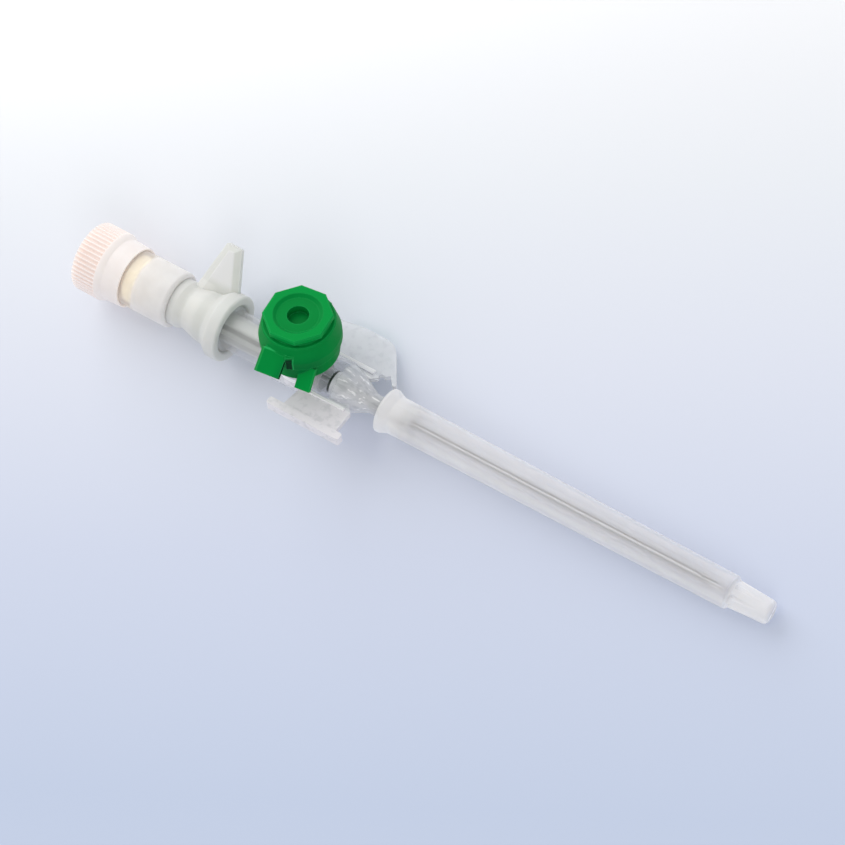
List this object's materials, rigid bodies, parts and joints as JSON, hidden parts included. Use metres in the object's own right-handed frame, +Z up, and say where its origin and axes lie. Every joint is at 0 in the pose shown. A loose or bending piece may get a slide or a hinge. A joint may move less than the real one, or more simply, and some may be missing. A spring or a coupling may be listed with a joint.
{
  "type": "iv cannula",
  "caption": "Winged ported intravenous cannula with hinged port lid, needle set with thumb fin and flash chamber, ribbed luer cap and long frosted sheath.",
  "frame": {"origin": "centre of the bounding box's bottom, on the table the cannula lies on", "axes": "+X runs along the cannula towards the sheath's tip; +Z is up from the table; the port leans towards +Y"},
  "size_m": [0.1062, 0.017, 0.0168],
  "materials": {
    "clear_plastic": "clear, polished",
    "catheter_plastic": "smooth, milky",
    "steel": "drawn, bright",
    "silicone": "soft, matt",
    "green_plastic": "satin moulded",
    "grip_plastic": "milky, fine grained",
    "chamber_plastic": "frosted",
    "filter_fibre": "porous",
    "cap_plastic": "satin moulded",
    "sheath_plastic": "frosted"
  },
  "bodies": {
    "hub": {"catheter_hub": "clear_plastic", "catheter_tube": "catheter_plastic", "ferrule": "steel", "valve_sleeve": "silicone", "port_ring": "green_plastic"},
    "lid": {"port_lid": "green_plastic"},
    "needle_set": {"needle": "steel", "needle_grip": "grip_plastic", "flash_chamber": "chamber_plastic", "vent_filter": "filter_fibre"},
    "cap": {"luer_cap": "cap_plastic"},
    "sheath": {"needle_sheath": "sheath_plastic"}
  },
  "joints": [
    {"name": "lid_hinge", "type": "hinge", "parent": "hub", "child": "lid", "pos_m": [-0.01825, 0.00683, 0.00791], "axis": [-0.9901, -0.1062, 0.0917], "range_deg": [0, 110]},
    {"name": "needle_withdrawal", "type": "slide", "parent": "hub", "child": "needle_set", "axis": [-0.9995, 0, 0.0322], "range_m": [0, 0.085]},
    {"name": "cap_pull", "type": "slide", "parent": "needle_set", "child": "cap", "axis": [-0.9995, 0, 0.0322], "range_m": [0, 0.012]},
    {"name": "sheath_pull", "type": "slide", "parent": "hub", "child": "sheath", "axis": [0.9995, 0, -0.0322], "range_m": [0, 0.06]}
  ]
}
